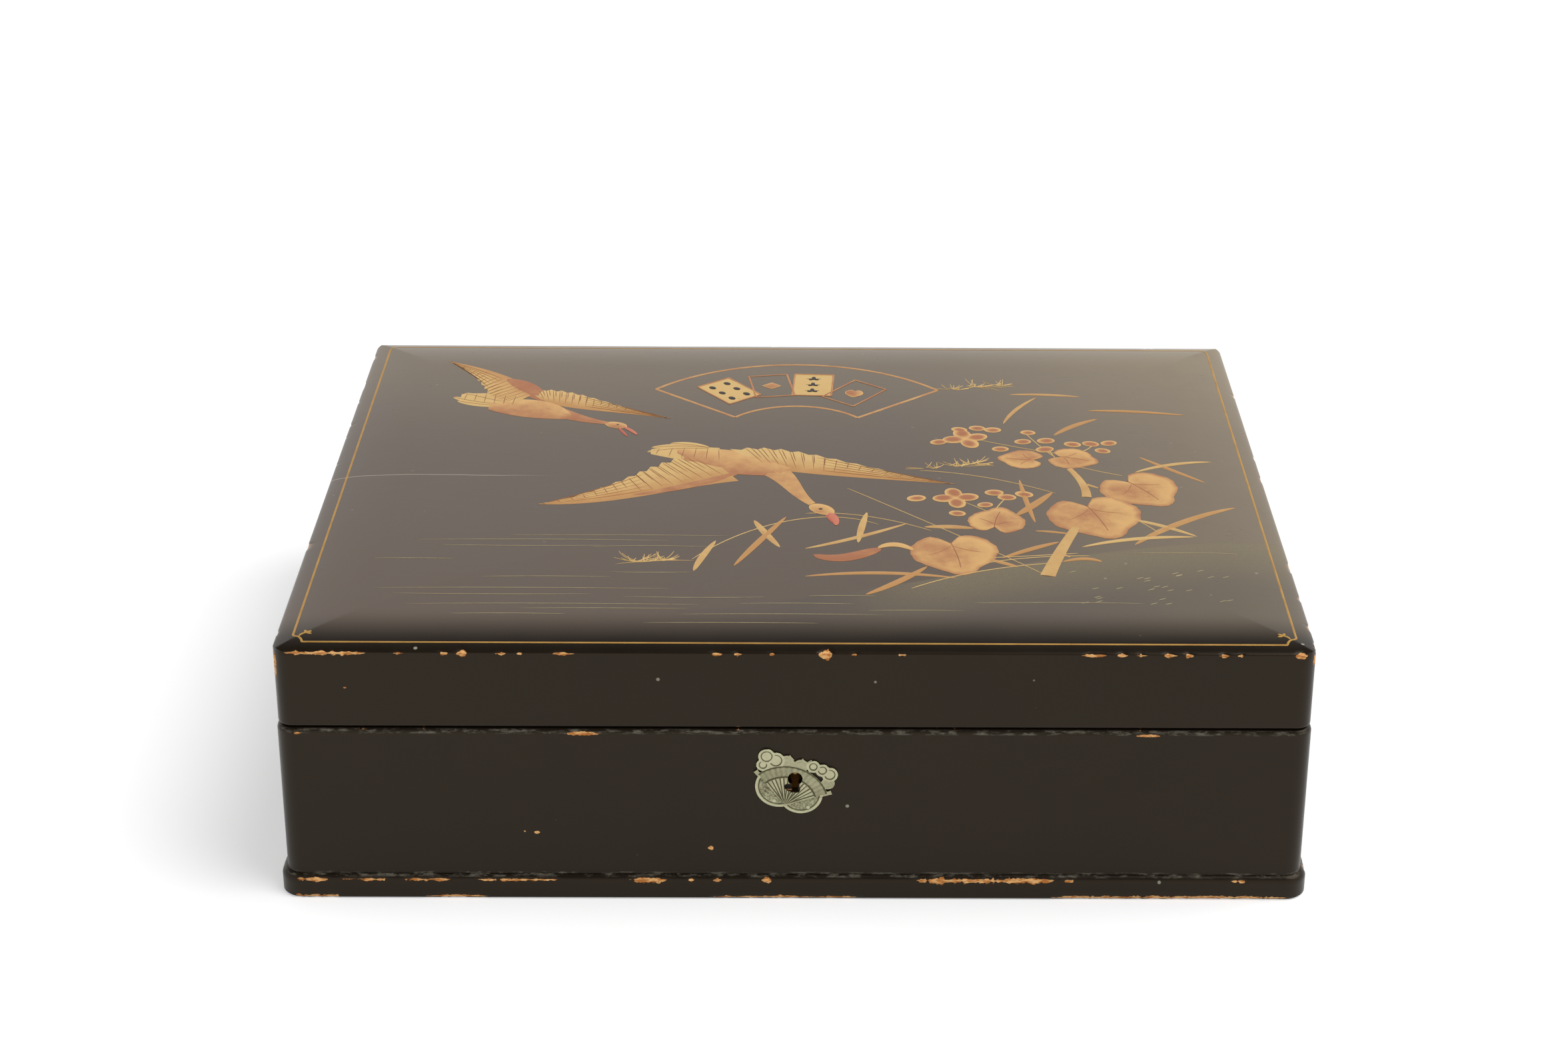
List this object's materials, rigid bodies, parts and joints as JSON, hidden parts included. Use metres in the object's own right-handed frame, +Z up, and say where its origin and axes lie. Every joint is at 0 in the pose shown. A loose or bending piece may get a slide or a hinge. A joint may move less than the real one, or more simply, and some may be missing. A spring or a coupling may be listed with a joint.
{
  "type": "lacquered games case",
  "caption": "Shallow lacquered wooden case with a crowned hinged lid, a box lock behind a metal escutcheon, and lidded boxes and trays inside.",
  "frame": {"origin": "middle of the base board's underside, where the case stands", "axes": "+Z up, +X to the right along the front, and the front with the keyhole faces -Y"},
  "size_m": [0.355, 0.275, 0.0975],
  "materials": {
    "outer_lacquer": "brown-black lacquer, semi-gloss",
    "lid_lacquer": "brown-black lacquer, semi-gloss",
    "lining_paper": "speckled lining",
    "bamboo": "bare",
    "partition_lacquer": "black lacquer, satin",
    "box_lacquer": "black lacquer, semi-gloss",
    "box_lid_lacquer": "black lacquer with a gold border",
    "tray_lacquer": "black lacquer, semi-gloss",
    "hinge_brass": "aged brass",
    "screw_steel": "dulled",
    "lock_metal": "aged brass",
    "lock_steel": "dulled",
    "escutcheon_metal": "pale silver-coloured alloy, tarnished"
  },
  "bodies": {
    "case": {"base_board": "outer_lacquer", "body_lining": "lining_paper", "body_corner_pegs": "bamboo", "base_pegs": "bamboo", "body_front_wall": "outer_lacquer", "body_back_wall": "outer_lacquer", "body_left_wall": "outer_lacquer", "body_right_wall": "outer_lacquer", "divider_left": "partition_lacquer", "divider_right": "partition_lacquer", "divider_cross": "partition_lacquer", "hinge_left_body_leaf": "hinge_brass", "hinge_right_body_leaf": "hinge_brass", "hinge_left_pin": "hinge_brass", "hinge_right_pin": "hinge_brass", "hinge_body_screws": "screw_steel", "lock_plate": "lock_metal", "lock_cap": "lock_metal", "lock_pins": "lock_metal", "lock_spring": "lock_steel", "lock_screws": "screw_steel", "escutcheon": "escutcheon_metal", "escutcheon_nails": "escutcheon_metal"},
    "lid": {"lid_board": "lid_lacquer", "lid_lining": "lining_paper", "lid_corner_pegs": "bamboo", "lid_front_wall": "lid_lacquer", "lid_back_wall": "lid_lacquer", "lid_left_wall": "lid_lacquer", "lid_right_wall": "lid_lacquer", "hinge_left_lid_leaf": "hinge_brass", "hinge_right_lid_leaf": "hinge_brass", "hinge_lid_screws": "screw_steel", "link_plate": "lock_metal", "link_screws": "screw_steel"},
    "lock_bolt": {"lock_bolt": "lock_steel"},
    "card_box_1": {"card_box_1": "box_lacquer"},
    "card_box_lid_1": {"card_box_lid_1": "box_lid_lacquer"},
    "card_box_2": {"card_box_2": "box_lacquer"},
    "card_box_lid_2": {"card_box_lid_2": "box_lid_lacquer"},
    "card_box_3": {"card_box_3": "box_lacquer"},
    "card_box_lid_3": {"card_box_lid_3": "box_lid_lacquer"},
    "card_box_4": {"card_box_4": "box_lacquer"},
    "card_box_lid_4": {"card_box_lid_4": "box_lid_lacquer"},
    "tray_stack_front": {"tray_front_1": "tray_lacquer", "tray_front_2": "tray_lacquer", "tray_front_3": "tray_lacquer", "tray_front_4": "tray_lacquer", "tray_front_5": "tray_lacquer"},
    "tray_stack_back": {"tray_back_1": "tray_lacquer", "tray_back_2": "tray_lacquer", "tray_back_3": "tray_lacquer", "tray_back_4": "tray_lacquer", "tray_back_5": "tray_lacquer"}
  },
  "joints": [
    {"name": "lid_hinge", "type": "hinge", "parent": "case", "child": "lid", "pos_m": [0, 0.1334, 0.06585], "axis": [-1, 0, 0], "range_deg": [0, 95]},
    {"name": "lock_bolt_slide", "type": "slide", "parent": "case", "child": "lock_bolt", "axis": [1, 0, 0], "range_m": [0, 0.005]},
    {"name": "card_box_1_lift", "type": "slide", "parent": "case", "child": "card_box_1", "axis": [0, 0, 1], "range_m": [0, 0.025]},
    {"name": "card_box_lid_1_lift", "type": "slide", "parent": "card_box_1", "child": "card_box_lid_1", "axis": [0, 0, 1], "range_m": [0, 0.02]},
    {"name": "card_box_2_lift", "type": "slide", "parent": "case", "child": "card_box_2", "axis": [0, 0, 1], "range_m": [0, 0.025]},
    {"name": "card_box_lid_2_lift", "type": "slide", "parent": "card_box_2", "child": "card_box_lid_2", "axis": [0, 0, 1], "range_m": [0, 0.02]},
    {"name": "card_box_3_lift", "type": "slide", "parent": "case", "child": "card_box_3", "axis": [0, 0, 1], "range_m": [0, 0.025]},
    {"name": "card_box_lid_3_lift", "type": "slide", "parent": "card_box_3", "child": "card_box_lid_3", "axis": [0, 0, 1], "range_m": [0, 0.02]},
    {"name": "card_box_4_lift", "type": "slide", "parent": "case", "child": "card_box_4", "axis": [0, 0, 1], "range_m": [0, 0.025]},
    {"name": "card_box_lid_4_lift", "type": "slide", "parent": "card_box_4", "child": "card_box_lid_4", "axis": [0, 0, 1], "range_m": [0, 0.02]},
    {"name": "tray_stack_front_lift", "type": "slide", "parent": "case", "child": "tray_stack_front", "axis": [0, 0, 1], "range_m": [0, 0.03]},
    {"name": "tray_stack_back_lift", "type": "slide", "parent": "case", "child": "tray_stack_back", "axis": [0, 0, 1], "range_m": [0, 0.03]}
  ]
}
